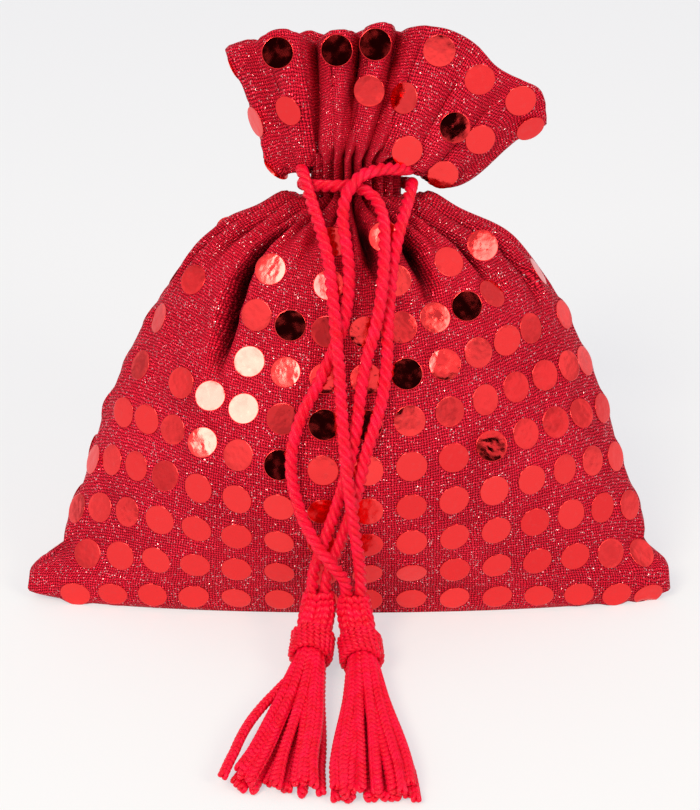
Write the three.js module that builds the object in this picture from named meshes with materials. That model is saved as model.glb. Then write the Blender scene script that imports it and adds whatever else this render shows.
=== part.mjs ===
// A stuffed drawstring pouch: dotted fabric sewn into a bag, gathered at the neck by two
// twisted cords whose ends hang down the front and finish in two tassels.
// Millimetres, +Z up, the front of the pouch faces -Y and it stands on z = 0.
import * as THREE from 'three';

// Pouch
const BASE_WIDTH = 134; // corner to corner along the bottom seam
const BELLY_DEPTH = 60; // front to back at the fullest level
const SHOULDER_HEIGHT = 83.6; // table to the foot of the gathered neck
const NECK_WIDTH = 17.4; // gathered fabric inside the cords
const NECK_DEPTH = 13.4;
const NECK_HEIGHT = 7.4; // straight stretch that the cords grip
const NECK_OFFSET = 1.5; // neck centre to the right of the bottom centre
const NECK_BACK = 3; // neck centre behind the middle of the base
const NECK_LEAN = 0.3; // rise toward the front for each millimetre of depth
const FRILL_RISE = 24; // neck top to the middle of the rim
const FRILL_LEFT = 24; // rim to the left of the middle
const FRILL_RIGHT = 38.5; // rim to the right of the middle
const FRILL_DEPTH = 14; // rim, front to back
const FRILL_BACK = 9; // rim centre behind the middle of the base
const FRILL_DROP_LEFT = 4; // the rim dips toward its two ends
const FRILL_DROP_RIGHT = 17;
const FRILL_WALL = 1.4; // cloth with its sequins

// Cords and tassels
const CORD_DIAMETER = 2.3;
const FIT_GAP = 0.3; // between the binding and the strands it holds
const CORD_END_GAP = 0.45; // between the cord ends and the tassel's head
const WAIST_WIDTH = 6.3; // strands where the thread binds them
const WAIST_HEIGHT = 5.8;
const BINDING_WALL = 0.7;
const BINDING_CLEARANCE = 0.4; // between the two bindings, where they start
const TABLE_GAP = 0.1; // under the skirts
const BINDING_LIFT = 0.5; // under the far edge of the bindings
const SKIRT_WIDTH = { left: 18.8, right: 15.8 }; // at the free end
const SKIRT_HEIGHT = 3.8;

// Mesh fineness
const AROUND = 64;
const CORD_SIDES = 8;
const CORD_STEP = 3.4;
const TASSEL_SIDES = 24;

// Form of the pouch below the neck, as shares of the sizes above.
// height, left and right half widths, side seam, front and back (front is negative).
const FORM = [
  [0.000, 0.895, 0.895, -0.400, -0.600, 0.570],
  [0.030, 1.000, 1.000, -0.433, -0.643, 0.650],
  [0.150, 0.919, 0.948, -0.333, -0.813, 0.867],
  [0.263, 0.851, 0.893, -0.217, -0.927, 0.977],
  [0.395, 0.788, 0.833, -0.100, -1.000, 1.000],
  [0.538, 0.715, 0.767, -0.017, -0.933, 0.943],
  [0.682, 0.633, 0.690, 0.043, -0.773, 0.833],
  [0.801, 0.540, 0.603, 0.083, -0.613, 0.707],
  [0.909, 0.425, 0.466, 0.100, -0.447, 0.567],
  [0.963, 0.310, 0.330, 0.100, -0.290, 0.433],
];
const FORM_LEVELS = [
  0, 0.012, 0.03, 0.06, 0.1, 0.15, 0.205, 0.263, 0.325, 0.395, 0.465, 0.538, 0.61, 0.682,
  0.745, 0.801, 0.86, 0.909, 0.94, 0.963, 0.983, 1,
];
const LENS_POWER = 1.35; // pillow-like edge low down, an oval at the neck
const LENS_FADE = [0.72, 1];
const LEAN_FADE = [0.66, 1];
const FRILL_LEVELS = [0.12, 0.28, 0.46, 0.64, 0.82, 1];
const FRILL_BOW = 1.3; // the frill spreads first and rises after
const FUNNEL_FLOOR = 0.28; // the open funnel starts at this share of the frill

// Routes of the two cords, chosen along the front of the pouch: up one leg, once round
// the neck and down the other leg.
const LEFT_ROUTE = [
  [2.4, -32.9, 12.95], [2.2, -33.2, 18.5], [1.5, -34.4, 25.0], [0.7, -34.9, 31.5],
  [-0.4, -34.0, 40.0], [-1.0, -32.0, 46.5], [-1.5, -29.3, 52.9], [-1.9, -26.9, 59.2],
  [-2.5, -24.5, 65.5], [-3.1, -21.2, 71.2], [-4.0, -17.0, 77.4], [-5.6, -12.6, 82.6],
  [-7.5, -8.0, 87.0], [-8.9, -2.9, 90.0], [-9.2, 3.0, 89.3], [-7.2, 8.2, 87.7],
  [-2.0, 11.3, 86.8], [5.0, 11.3, 86.8], [10.2, 8.2, 87.7], [12.2, 3.0, 89.3],
  [10.2, -2.4, 90.9], [6.2, -5.3, 91.9], [2.2, -7.6, 91.2], [-0.5, -9.8, 88.2],
  [-1.2, -12.4, 84.2], [-0.6, -14.8, 80.4], [0.0, -17.2, 75.6], [-0.4, -20.0, 69.4],
  [-1.6, -22.0, 64.7], [-6.0, -25.8, 55.4], [-8.9, -27.8, 50.2], [-10.7, -29.5, 44.9],
  [-11.2, -30.7, 39.8], [-10.5, -31.6, 34.6], [-8.8, -33.0, 29.4], [-6.2, -34.7, 24.8],
  [-3.2, -35.2, 20.6], [-0.9, -33.9, 16.6], [-0.4, -32.9, 12.95],
];
const RIGHT_ROUTE = [
  [-4.7, -31.7, 12.95], [-4.1, -31.9, 17.0], [-1.4, -32.1, 25.0], [0.6, -32.1, 31.4],
  [2.1, -31.8, 37.4], [3.5, -30.5, 43.3], [5.0, -29.1, 48.0], [6.5, -26.9, 53.3],
  [7.3, -24.3, 59.1], [7.5, -21.9, 64.6], [7.8, -19.3, 70.0], [8.4, -16.4, 75.9],
  [9.6, -12.7, 81.2], [11.2, -7.8, 85.4], [12.3, -2.0, 87.4], [12.0, 4.6, 85.6],
  [8.1, 9.9, 84.0], [1.5, 11.8, 83.4], [-5.1, 9.9, 84.0], [-9.0, 4.6, 85.6],
  [-8.1, -1.0, 87.2], [-4.0, -4.8, 88.3], [1.2, -6.0, 88.6], [4.9, -7.8, 87.0],
  [6.6, -11.2, 84.0], [6.8, -15.4, 80.6], [6.6, -19.2, 76.2], [6.0, -21.9, 70.8],
  [4.9, -23.6, 65.4], [3.4, -24.9, 60.1], [2.3, -26.9, 54.3], [1.5, -29.2, 48.1],
  [0.4, -30.8, 42.4], [-1.0, -31.8, 37.0], [-2.7, -32.1, 31.0], [-4.8, -32.1, 24.5],
  [-6.8, -31.9, 18.0], [-7.4, -31.7, 12.95],
];

// Bends of the two tassels, from the cord ends down to the table and forward along it:
// sideways and forward from the head's top, then the skirt sideways from the binding's edge.
const HEAD_DROP = [[0.1, -0.2, -3.1], [0.5, -3.3, -6.3]];
const BINDING_REACH = 11.9; // head's top to the far edge of the binding, forward
const SKIRT_MIDDLE = { left: [-2.275, -28.3], right: [0.975, -29.1] };
const SKIRT_TIP = { left: [-6.275, -52.3], right: [2.075, -54.1] };
// Sections of a tassel: share of its length, and how far each differs from the waist.
const HEAD_SECTIONS = [
  [0, -0.6, -1.4], [0.02, -0.2, -0.6], [0.06, 0.15, 0], [0.11, 0.25, 0.2], [0.145, 0.1, 0.1],
];
const BINDING_SPAN = [0.15, 0.285]; // shares of the length that the thread covers
const SKIRT_SECTIONS = [[0.34, 0.55, -0.1], [0.5, 1.55, -0.3], [0.68, 2.95, -0.4], [0.85, 4.25, -0.7]];

const fade = (value, [from, to]) => THREE.MathUtils.clamp((value - from) / (to - from), 0, 1);

// One closed surface through rings of points, each ring running the same way round.
function closedLoft(rings, capped = true) {
  const sides = rings[0].length;
  const points = rings.flat();
  const faces = [];
  const rows = capped ? rings.length - 1 : rings.length;
  for (let i = 0; i < rows; i++) {
    const low = i * sides;
    const high = ((i + 1) % rings.length) * sides;
    for (let j = 0; j < sides; j++) {
      const k = (j + 1) % sides;
      faces.push(low + j, low + k, high + k, low + j, high + k, high + j);
    }
  }
  if (capped) {
    const middle = (ring) => ring.reduce((sum, p) => sum.add(p), new THREE.Vector3())
      .divideScalar(sides);
    const last = (rings.length - 1) * sides;
    points.push(middle(rings[0]), middle(rings[rings.length - 1]));
    for (let j = 0; j < sides; j++) {
      const k = (j + 1) % sides;
      faces.push(points.length - 2, k, j, points.length - 1, last + j, last + k);
    }
  }
  const geometry = new THREE.BufferGeometry().setFromPoints(points);
  geometry.setIndex(faces);
  geometry.computeVertexNormals();
  return geometry;
}

// Pouch: rings up the belly to the neck, up the outside of the frill, over the rim and
// down the inside of its funnel.
const neckLeft = NECK_WIDTH / 2 - NECK_OFFSET;
const neckRight = NECK_WIDTH / 2 + NECK_OFFSET;
const neckForm = [
  1, neckLeft / (BASE_WIDTH / 2), neckRight / (BASE_WIDTH / 2), NECK_BACK / (BELLY_DEPTH / 2),
  (NECK_BACK - NECK_DEPTH / 2) / (BELLY_DEPTH / 2), (NECK_BACK + NECK_DEPTH / 2) / (BELLY_DEPTH / 2),
];
const stations = [...FORM, neckForm];
const formCurve = new THREE.CubicInterpolant(
  stations.map((row) => row[0]), stations.flatMap((row) => row.slice(1)), 5,
);

function ovalPoint(angle, z, half, side, front, back, power, lean) {
  const across = Math.cos(angle);
  const share = Math.abs(Math.sin(angle)) ** power;
  const x = across > 0 ? half[1] * across : half[0] * across;
  const y = side + share * (Math.sin(angle) < 0 ? front - side : back - side);
  return new THREE.Vector3(x, y, z - lean * (y - side));
}

const angles = Array.from({ length: AROUND }, (_, j) => (2 * Math.PI * j) / AROUND);

function bodyRing(level) {
  const [left, right, side, front, back] = formCurve.evaluate(level);
  const power = LENS_POWER - (LENS_POWER - 1) * fade(level, LENS_FADE);
  const lean = NECK_LEAN * fade(level, LEAN_FADE) ** 2;
  const depth = BELLY_DEPTH / 2;
  const half = [left, right].map((share) => Math.min(share, 1) * BASE_WIDTH / 2);
  return angles.map((angle) => ovalPoint(
    angle, level * SHOULDER_HEIGHT, half, side * depth, front * depth, back * depth, power, lean,
  ));
}

const neckTop = bodyRing(1).map((p) => p.add(new THREE.Vector3(0, 0, NECK_HEIGHT)));
const rim = angles.map((angle) => {
  const point = ovalPoint(
    angle, SHOULDER_HEIGHT + NECK_HEIGHT + FRILL_RISE, [FRILL_LEFT, FRILL_RIGHT], FRILL_BACK,
    FRILL_BACK - FRILL_DEPTH / 2, FRILL_BACK + FRILL_DEPTH / 2, 1, NECK_LEAN,
  );
  point.z -= (Math.cos(angle) > 0 ? FRILL_DROP_RIGHT : FRILL_DROP_LEFT) * Math.cos(angle) ** 4;
  return point;
});

function frillRing(share) {
  const rise = share ** FRILL_BOW;
  return neckTop.map((low, j) => new THREE.Vector3(
    THREE.MathUtils.lerp(low.x, rim[j].x, share),
    THREE.MathUtils.lerp(low.y, rim[j].y, share),
    THREE.MathUtils.lerp(low.z, rim[j].z, rise),
  ));
}

function funnelRing(share) {
  const spine = new THREE.Vector3(
    NECK_OFFSET, THREE.MathUtils.lerp(NECK_BACK, FRILL_BACK, share), 0,
  );
  const keep = THREE.MathUtils.lerp(
    0.12, 1 - (2 * FRILL_WALL) / FRILL_DEPTH, fade(share, [FUNNEL_FLOOR, 1]) ** 0.7,
  );
  return frillRing(share).map((p) => p.lerp(spine.setZ(p.z), 1 - keep));
}

const funnelShares = FRILL_LEVELS.filter((share) => share >= FUNNEL_FLOOR).reverse();
const pouch = closedLoft([
  ...FORM_LEVELS.map(bodyRing),
  neckTop,
  ...FRILL_LEVELS.map(frillRing),
  ...funnelShares.map(funnelRing),
]);

// Cord: a round tube along its route.
function cord(route) {
  const path = new THREE.CatmullRomCurve3(route.map((p) => new THREE.Vector3(...p)));
  const section = new THREE.Shape(Array.from({ length: CORD_SIDES }, (_, j) => {
    const angle = (2 * Math.PI * j) / CORD_SIDES;
    return new THREE.Vector2(Math.cos(angle), Math.sin(angle)).multiplyScalar(CORD_DIAMETER / 2);
  }));
  return new THREE.ExtrudeGeometry(section, {
    steps: Math.round(path.getLength() / CORD_STEP), extrudePath: path,
  });
}

// Tassel: an oval section carried along a bent axis.
function axisRing(path, share, halfWidth, halfHeight) {
  const centre = path.getPointAt(share);
  const along = path.getTangentAt(share);
  const side = new THREE.Vector3(1, 0, 0).addScaledVector(along, -along.x).normalize();
  const up = new THREE.Vector3().crossVectors(side, along);
  return Array.from({ length: TASSEL_SIDES }, (_, j) => {
    const angle = (2 * Math.PI * j) / TASSEL_SIDES;
    return centre.clone()
      .addScaledVector(side, halfWidth * Math.cos(angle))
      .addScaledVector(up, -halfHeight * Math.sin(angle));
  });
}

const bindingOut = FIT_GAP + BINDING_WALL;
const bindingHalf = WAIST_WIDTH / 2 + bindingOut;
const routeEnds = (route) => new THREE.Vector3(...route[0])
  .add(new THREE.Vector3(...route[route.length - 1])).multiplyScalar(0.5);
const heads = { left: routeEnds(RIGHT_ROUTE), right: routeEnds(LEFT_ROUTE) };
const between = (heads.left.x + heads.right.x) / 2;

function tasselAxis(name) {
  const way = name === 'left' ? -1 : 1;
  const top = heads[name].clone().setZ(heads[name].z - CORD_END_GAP);
  const [bend, knee] = HEAD_DROP.map(([x, y, z]) => top.clone().add(new THREE.Vector3(way * x, y, z)));
  knee.x = between + way * (bindingHalf + BINDING_CLEARANCE / 2);
  const foot = new THREE.Vector3(
    knee.x + way * 2 * BINDING_CLEARANCE, top.y - BINDING_REACH,
    WAIST_HEIGHT / 2 + bindingOut + BINDING_LIFT,
  );
  const lie = ([x, y], halfHeight) => new THREE.Vector3(foot.x + x, top.y + y, halfHeight + TABLE_GAP);
  return new THREE.CatmullRomCurve3([
    top, bend, knee, foot, lie(SKIRT_MIDDLE[name], WAIST_HEIGHT / 2),
    lie(SKIRT_TIP[name], SKIRT_HEIGHT / 2),
  ]);
}

function tassel(name) {
  const path = tasselAxis(name);
  const [from, to] = BINDING_SPAN;
  const grip = [from, THREE.MathUtils.lerp(from, to, 0.5), to];
  const section = (share, wider, higher) => axisRing(
    path, share, WAIST_WIDTH / 2 + wider, WAIST_HEIGHT / 2 + higher,
  );
  return {
    strands: closedLoft([
      ...HEAD_SECTIONS.map((row) => section(...row)),
      ...grip.map((share) => section(share, 0, 0)),
      ...SKIRT_SECTIONS.map((row) => section(...row)),
      axisRing(path, 1, SKIRT_WIDTH[name] / 2, SKIRT_HEIGHT / 2),
    ]),
    binding: closedLoft([
      ...grip.map((share) => section(share, bindingOut, bindingOut)),
      ...grip.toReversed().map((share) => section(share, FIT_GAP, FIT_GAP)),
    ], false),
  };
}

const clothRed = new THREE.MeshStandardMaterial({ color: 0xb01028, roughness: 0.6 });
const cordRed = new THREE.MeshStandardMaterial({ color: 0xc4122c, roughness: 0.5 });
const group = new THREE.Group();

function add(name, geometry, material) {
  const mesh = new THREE.Mesh(geometry, material.clone());
  mesh.name = name;
  group.add(mesh);
}

const leftTassel = tassel('left');
const rightTassel = tassel('right');
add('pouch', pouch, clothRed);
add('drawstring_left', cord(LEFT_ROUTE), cordRed);
add('drawstring_right', cord(RIGHT_ROUTE), cordRed);
add('tassel_left_strands', leftTassel.strands, cordRed);
add('tassel_left_binding', leftTassel.binding, cordRed);
add('tassel_right_strands', rightTassel.strands, cordRed);
add('tassel_right_binding', rightTassel.binding, cordRed);

export default group;
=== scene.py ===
import math

import bpy
import numpy as np
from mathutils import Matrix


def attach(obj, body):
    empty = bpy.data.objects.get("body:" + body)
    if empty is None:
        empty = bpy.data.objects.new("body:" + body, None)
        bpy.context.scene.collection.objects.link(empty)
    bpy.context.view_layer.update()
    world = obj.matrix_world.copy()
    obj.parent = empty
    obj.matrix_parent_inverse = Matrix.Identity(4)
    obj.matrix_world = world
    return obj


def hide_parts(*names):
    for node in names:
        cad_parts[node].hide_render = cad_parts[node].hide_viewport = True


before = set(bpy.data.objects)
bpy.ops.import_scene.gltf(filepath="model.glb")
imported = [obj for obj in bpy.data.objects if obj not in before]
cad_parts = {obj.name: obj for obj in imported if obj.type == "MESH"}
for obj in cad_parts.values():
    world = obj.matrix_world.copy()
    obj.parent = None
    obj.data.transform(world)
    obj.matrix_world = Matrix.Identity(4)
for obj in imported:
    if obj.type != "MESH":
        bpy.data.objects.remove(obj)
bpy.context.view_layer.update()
scene = bpy.context.scene
draw = np.random.default_rng(1476)
MM = 0.001  # all the shapes below are in millimetres

# Camera: 25 degrees above the table, 450 mm from the middle of the pouch.
CAMERA_AT = np.array([0.2, -420.84, 235.18])
CAMERA_TILT = 65.0
CAMERA_LENS = 100.0
SENSOR = 36.0
PHOTO_WIDTH, PHOTO_HEIGHT = 700, 810

# Cords: the routes of part.mjs, up one leg, once round the neck and down the other.
CORD_LAY = 5.7
STRAND_OFFSET = 0.60
STRAND_RADIUS = 0.67
LEFT_ROUTE = [
    (2.4, -32.9, 12.95), (2.2, -33.2, 18.5), (1.5, -34.4, 25.0), (0.7, -34.9, 31.5),
    (-0.4, -34.0, 40.0), (-1.0, -32.0, 46.5), (-1.5, -29.3, 52.9), (-1.9, -26.9, 59.2),
    (-2.5, -24.5, 65.5), (-3.1, -21.2, 71.2), (-4.0, -17.0, 77.4), (-5.6, -12.6, 82.6),
    (-7.5, -8.0, 87.0), (-8.9, -2.9, 90.0), (-9.2, 3.0, 89.3), (-7.2, 8.2, 87.7),
    (-2.0, 11.3, 86.8), (5.0, 11.3, 86.8), (10.2, 8.2, 87.7), (12.2, 3.0, 89.3),
    (10.2, -2.4, 90.9), (6.2, -5.3, 91.9), (2.2, -7.6, 91.2), (-0.5, -9.8, 88.2),
    (-1.2, -12.4, 84.2), (-0.6, -14.8, 80.4), (0.0, -17.2, 75.6), (-0.4, -20.0, 69.4),
    (-1.6, -22.0, 64.7), (-6.0, -25.8, 55.4), (-8.9, -27.8, 50.2), (-10.7, -29.5, 44.9),
    (-11.2, -30.7, 39.8), (-10.5, -31.6, 34.6), (-8.8, -33.0, 29.4), (-6.2, -34.7, 24.8),
    (-3.2, -35.2, 20.6), (-0.9, -33.9, 16.6), (-0.4, -32.9, 12.95),
]
RIGHT_ROUTE = [
    (-4.7, -31.7, 12.95), (-4.1, -31.9, 17.0), (-1.4, -32.1, 25.0), (0.6, -32.1, 31.4),
    (2.1, -31.8, 37.4), (3.5, -30.5, 43.3), (5.0, -29.1, 48.0), (6.5, -26.9, 53.3),
    (7.3, -24.3, 59.1), (7.5, -21.9, 64.6), (7.8, -19.3, 70.0), (8.4, -16.4, 75.9),
    (9.6, -12.7, 81.2), (11.2, -7.8, 85.4), (12.3, -2.0, 87.4), (12.0, 4.6, 85.6),
    (8.1, 9.9, 84.0), (1.5, 11.8, 83.4), (-5.1, 9.9, 84.0), (-9.0, 4.6, 85.6),
    (-8.1, -1.0, 87.2), (-4.0, -4.8, 88.3), (1.2, -6.0, 88.6), (4.9, -7.8, 87.0),
    (6.6, -11.2, 84.0), (6.8, -15.4, 80.6), (6.6, -19.2, 76.2), (6.0, -21.9, 70.8),
    (4.9, -23.6, 65.4), (3.4, -24.9, 60.1), (2.3, -26.9, 54.3), (1.5, -29.2, 48.1),
    (0.4, -30.8, 42.4), (-1.0, -31.8, 37.0), (-2.7, -32.1, 31.0), (-4.8, -32.1, 24.5),
    (-6.8, -31.9, 18.0), (-7.4, -31.7, 12.95),
]

# Tassels: their axes in part.mjs, and half width and half height at shares of the length.
TASSEL_AXES = {
    "left": [(-6.05, -31.7, 12.5), (-6.15, -31.9, 9.4), (-6.875, -35.0, 6.2),
             (-7.675, -43.6, 4.4), (-9.95, -60.0, 3.0), (-13.95, -84.0, 2.0)],
    "right": [(1.0, -32.9, 12.5), (1.1, -33.1, 9.4), (1.825, -36.2, 6.2),
              (2.625, -44.8, 4.4), (3.6, -62.0, 3.0), (4.7, -87.0, 2.0)],
}
TASSEL_SHARES = [0, 0.02, 0.06, 0.11, 0.145, 0.15, 0.285, 0.34, 0.5, 0.68, 0.85, 1]
TASSEL_WIDTHS = [3.0, 3.45, 3.7, 3.75, 3.5, 3.2, 3.15, 3.7, 4.7, 6.1, 7.4]
TASSEL_HEIGHTS = [1.5, 2.3, 2.9, 3.1, 3.0, 2.9, 2.9, 2.8, 2.6, 2.5, 2.2, 1.9]
SKIRT_END = {"left": 9.4, "right": 7.9}
BINDING_SPAN = (0.15, 0.285)
BINDING_MIDDLE = 0.65  # thread's centre outside the waist
BINDING_TURNS = 6
BINDING_RADIUS, BINDING_STITCH = 0.74, 1.15
YARN_RADIUS = 1.05
STITCH = 1.35
LOOSE_YARN = 6  # one yarn of the left skirt bows out on its own

# Pouch: the rings of part.mjs as height share, left, right, side, front and back.
BASE_HALF = 67.0
BELLY_HALF = 30.0
SHOULDER_HEIGHT = 83.6
NECK_HEIGHT = 7.4
NECK_CENTRE = np.array([1.5, 3.0])
NECK_LEAN = 0.3
FORM = np.array([
    (0, 0.895, 0.895, -0.400, -0.600, 0.570), (0.030, 1, 1, -0.433, -0.643, 0.650),
    (0.150, 0.919, 0.948, -0.333, -0.813, 0.867), (0.263, 0.851, 0.893, -0.217, -0.927, 0.977),
    (0.395, 0.788, 0.833, -0.100, -1, 1), (0.538, 0.715, 0.767, -0.017, -0.933, 0.943),
    (0.682, 0.633, 0.690, 0.043, -0.773, 0.833), (0.801, 0.540, 0.603, 0.083, -0.613, 0.707),
    (0.909, 0.425, 0.466, 0.100, -0.447, 0.567), (0.963, 0.310, 0.330, 0.100, -0.290, 0.433),
    (1, 7.2 / 67, 10.2 / 67, 3 / 30, -3.7 / 30, 9.7 / 30),
])

# Cloth: 290 mm round, and heights along it from the bottom edge to neck and rim.
GIRTH = 290.0
QUARTER = GIRTH / 4
COLUMNS = 384
V_SHOULDER, V_NECK, V_RIM = 96.6, 104.0, 135.0
BODY_ROWS, NECK_ROWS, FRILL_ROWS, BASE_ROWS, HEM_ROWS = 124, 9, 42, 9, 14
FRILL_BOW = 1.3
UNDER = 18.0  # cloth from the bottom edge to the seam below
# Share of the flat width that the front's middle keeps at each height.
FRONT_SCALE = [(0, 1.0), (40, 0.96), (57, 0.88), (70, 0.75), (76, 0.6), (80, 0.4), (83.6, 0.17)]
# Long pleats: place round the cloth, depth, and height share where each one starts.
PLEATS = [
    (-32, 8.5, 0.62), (-61, 4.0, 0.76), (-47, 3.5, 0.82), (-14, 4.0, 0.84), (-1, 6.5, 0.82),
    (7, 6.0, 0.78), (21.5, 7.0, 0.75), (41, 8.5, 0.79), (58, 5.0, 0.74), (83, 5.0, 0.72),
    (93, 4.0, 0.78), (113.5, 6.5, 0.64), (138.7, 6.5, 0.68), (-138.5, 4.0, 0.78),
    (-125.6, 6.5, 0.64), (-100.5, 6.5, 0.68), (-86, 5.0, 0.72),
]
# Valleys of the gathers in the neck.
GATHERS = [
    -138.5, -125.6, -113, -100.5, -86, -72.5, -61, -50, -38.5, -24, -9.1, 5, 18.9, 31, 45, 58,
    72.5, 83, 93, 103, 113.5, 126, 138.7,
]
GATHER_DEPTH = 4.2
THREAD_PITCH = 0.58  # of the weave
FOLD_SHADE_DEPTHS = (1.6, 5.0)  # fold depths between which painted shade darkens the cloth
# Crease above each bottom corner: its depth, and its place and reach up and round the cloth.
EAR_DENT, EAR_V, EAR_HIGH, EAR_U, EAR_WIDE = 1.8, 15.5, 2.6, 71, 9
PLEAT_WIDTH, PLEAT_WIDENS = 1.6, 1.0
SEAM_DENT, SEAM_WIDE = 0.6, 1.4
# The shoulder stands up round the tied cords, and the frill hangs over them at the sides.
OVERHANG = 1.4
PUFF, PUFF_V, PUFF_OUT, PUFF_IN = 2.4, 92.0, 4.2, 1.4
NECK_RIDGE = 0.5
SIDE_RIDGE, SIDE_WIDE = 0.4, 7  # the neck's cloth fills out to the cords at both sides
# How far the frill hangs down, by place round the cloth.
DROOP_MOST = 7.0
DROOP = [(-145, 3.5), (-110, 4.5), (-72.5, DROOP_MOST), (-45, 4.5), (-22, 0), (22, 0), (45, 4.5),
         (72.5, DROOP_MOST), (110, 4.5), (145, 3.5)]
# Rim of the frill: the front from left to right, then the back from right to left.
RIM_FRONT = [
    (-24.4, 8.5, 111.5), (-21.8, 6.5, 113), (-18.6, 6.8, 113.2), (-17.2, 3.8, 115.2),
    (-14.2, 1.6, 117.2), (-10.4, 2.2, 116.8), (-7.8, 5, 115), (-6.6, 12, 112), (-5.6, 6, 114.8),
    (-3.2, 1.8, 117.2), (0.0, 2.6, 117), (1.6, 6, 115.5), (2.2, 12, 113), (3.2, 5.5, 117),
    (5.6, 2.4, 118.5), (8.2, 3.6, 118), (9.6, 10.5, 114.5), (11.6, 5, 117), (15.0, 2.2, 118),
    (19.8, 1.4, 117.2), (24.2, 1.2, 114.6), (28.4, 1.8, 110), (33, 3.2, 107), (37.4, 4.6, 104.4),
    (39.2, 6.5, 96.5),
]
RIM_BACK = [
    (36.5, 11, 99.5), (28, 16.5, 106.5), (22, 12.5, 110.5), (16, 18, 112), (10, 13, 112.5),
    (4, 18.5, 113), (-2, 13, 112.5), (-8, 18.5, 112.5), (-14, 13.5, 111.5), (-19, 17.5, 111),
    (-23.5, 13, 111),
]
HEM_GAP, HEM_ROLL_STEP = 0.9, 0.35
FLOOR_GAP = 0.02

# Sequins: stiff film dots on a square grid.
DOT_RADIUS = 3.1
DOT_COUNT = 32  # round the bag
DOT_PITCH = GIRTH / DOT_COUNT
DOT_FIRST = 4.6
DOT_THICK = 0.05
DOT_BEND = 0.004
DOT_LIFT = 0.9  # the most that a dot may stand off its cloth
DOT_GLUE = 0.06  # from the cloth to the dot's back
DOT_FOLD = 2.3  # no dot sits in a deeper fold
# How uneven the cloth below a dot may be, up to each height along it.
DOT_UNEVEN = [(74, 0.46), (V_NECK, 0.6), (V_RIM, 1.0)]
LEAN, LEAN_MOST = 0.06, 24  # a dot's own lean, and degrees that one may turn to its light
MARK_REACH = 36  # pixels from a mark to the dot that is taken for it
DOT_SIDES = 28
# Dots that look dark or bright in the photograph, in its pixels.
DARK_DOTS = [
    (300, 322), (325, 420), (277, 470), (410, 368), (465, 307), (190, 350), (385, 420),
    (245, 60), (335, 42), (340, 80), (312, 124), (383, 33), (447, 93),
]
BRIGHT_DOTS = [(253, 368), (205, 405), (244, 415), (198, 455), (455, 360), (500, 440)]

# Light: the dark place behind the camera, and the two soft lamps.
DARK_DIRECTION = np.array([0.0, -math.cos(math.radians(17)), math.sin(math.radians(17))])
DARK_RADIUS = 15.0
LAMP_COLOUR = (1.0, 0.96, 0.72)
KEY_WATTS, KEY_WIDTH = 12.5, 0.56
FILL_WATTS, FILL_WIDTH = 5.0, 0.5
KEY_AT = np.array([-520.0, -1050.0, 1000.0])
FILL_AT = np.array([760.0, -900.0, 760.0])


def add_camera():
    data = bpy.data.cameras.new("camera")
    data.sensor_fit = "VERTICAL"
    data.sensor_height = SENSOR
    data.sensor_width = SENSOR
    data.lens = CAMERA_LENS
    data.clip_start = 0.02
    camera = bpy.data.objects.new("camera", data)
    camera.location = CAMERA_AT * MM
    camera.rotation_euler = (math.radians(CAMERA_TILT), 0, 0)
    scene.collection.objects.link(camera)
    scene.camera = camera


def unit(vectors):
    vectors = np.asarray(vectors, float)
    return vectors / np.maximum(np.linalg.norm(vectors, axis=-1, keepdims=True), 1e-9)


def step_in(value, low, high):
    share = np.clip((np.asarray(value, float) - low) / (high - low), 0, 1)
    return share * share * (3 - 2 * share)


def lengths(line):
    return np.concatenate([[0], np.cumsum(np.linalg.norm(np.diff(line, axis=0), axis=1))])


def resample(line, count):
    at = lengths(line)
    new = np.linspace(0, at[-1], count)
    return np.stack([np.interp(new, at, line[:, k]) for k in range(line.shape[1])], 1)


def smooth_line(points, step):
    """Centripetal Catmull-Rom line through the points, as in part.mjs, with even steps."""
    p = np.asarray(points, float)
    q = np.vstack([2 * p[:1] - p[1:2], p, 2 * p[-1:] - p[-2:-1]])
    h = np.linspace(0, 1, 24, endpoint=False)[:, None]
    parts = []
    for a, b, c, d in zip(q[:-3], q[1:-2], q[2:-1], q[3:]):
        k = [np.linalg.norm(e) ** 0.5 for e in (b - a, c - b, d - c)]
        m = ((b - a) / k[0] - (c - a) / (k[0] + k[1]) + (c - b) / k[1]) * k[1]
        n = ((c - b) / k[1] - (d - b) / (k[1] + k[2]) + (d - c) / k[2]) * k[1]
        parts.append(b + m * h + (3 * (c - b) - 2 * m - n) * h**2 + (2 * (b - c) + m + n) * h**3)
    line = np.vstack(parts + [q[-2:-1]])
    return resample(line, max(2, round(lengths(line)[-1] / step) + 1))


def frames(line):
    along = unit(np.gradient(line, axis=0))
    side = np.zeros_like(along)
    first = np.cross(along[0], (0, 1, 0) if abs(along[0][1]) < 0.8 else (1, 0, 0))
    side[0] = first / np.linalg.norm(first)
    for i in range(1, len(line)):
        s = side[i - 1] - along[i] * side[i - 1].dot(along[i])
        side[i] = s / np.linalg.norm(s)
    return along, side, np.cross(along, side)


def grid_faces(rows, columns):
    """Quads of a grid that closes round its columns."""
    i, j = np.meshgrid(np.arange(rows - 1), np.arange(columns), indexing="ij")
    k = (j + 1) % columns
    return np.stack([i * columns + j, i * columns + k, (i + 1) * columns + k,
                     (i + 1) * columns + j], -1).reshape(-1, 4)


def grid_uv(u, v):
    """Corner coordinates of grid_faces: u and v have one more column than the grid."""
    return np.stack([np.stack([m[:-1, :-1], m[:-1, 1:], m[1:, 1:], m[1:, :-1]], -1)
                     for m in (u, v)], -1).reshape(-1, 2)


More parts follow.
